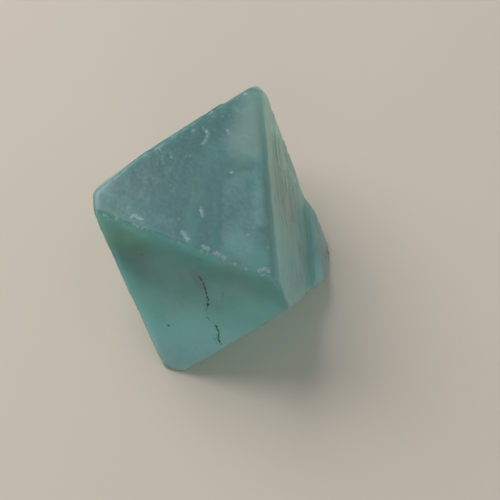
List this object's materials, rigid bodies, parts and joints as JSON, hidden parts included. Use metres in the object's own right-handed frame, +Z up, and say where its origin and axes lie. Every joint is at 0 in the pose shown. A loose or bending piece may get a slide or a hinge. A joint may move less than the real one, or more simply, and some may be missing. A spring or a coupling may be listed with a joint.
{
  "type": "fluorite octahedron",
  "caption": "Blue-green fluorite cleavage octahedron with flat faces, a stepped right face, worn edges and blunted corners, lying on one face.",
  "frame": {"origin": "middle of the crystal's box, at the height of the face that it rests on", "axes": "+Z up, square to the level top face and the base; +X along the top face's front edge, to the right; +Y to the far corner of the top face"},
  "size_m": [0.0184, 0.0208, 0.0137],
  "materials": {
    "fluorite": "frosted, cloudy, blue-green"
  },
  "bodies": {
    "root": {"fluorite_octahedron": "fluorite"}
  },
  "joints": []
}
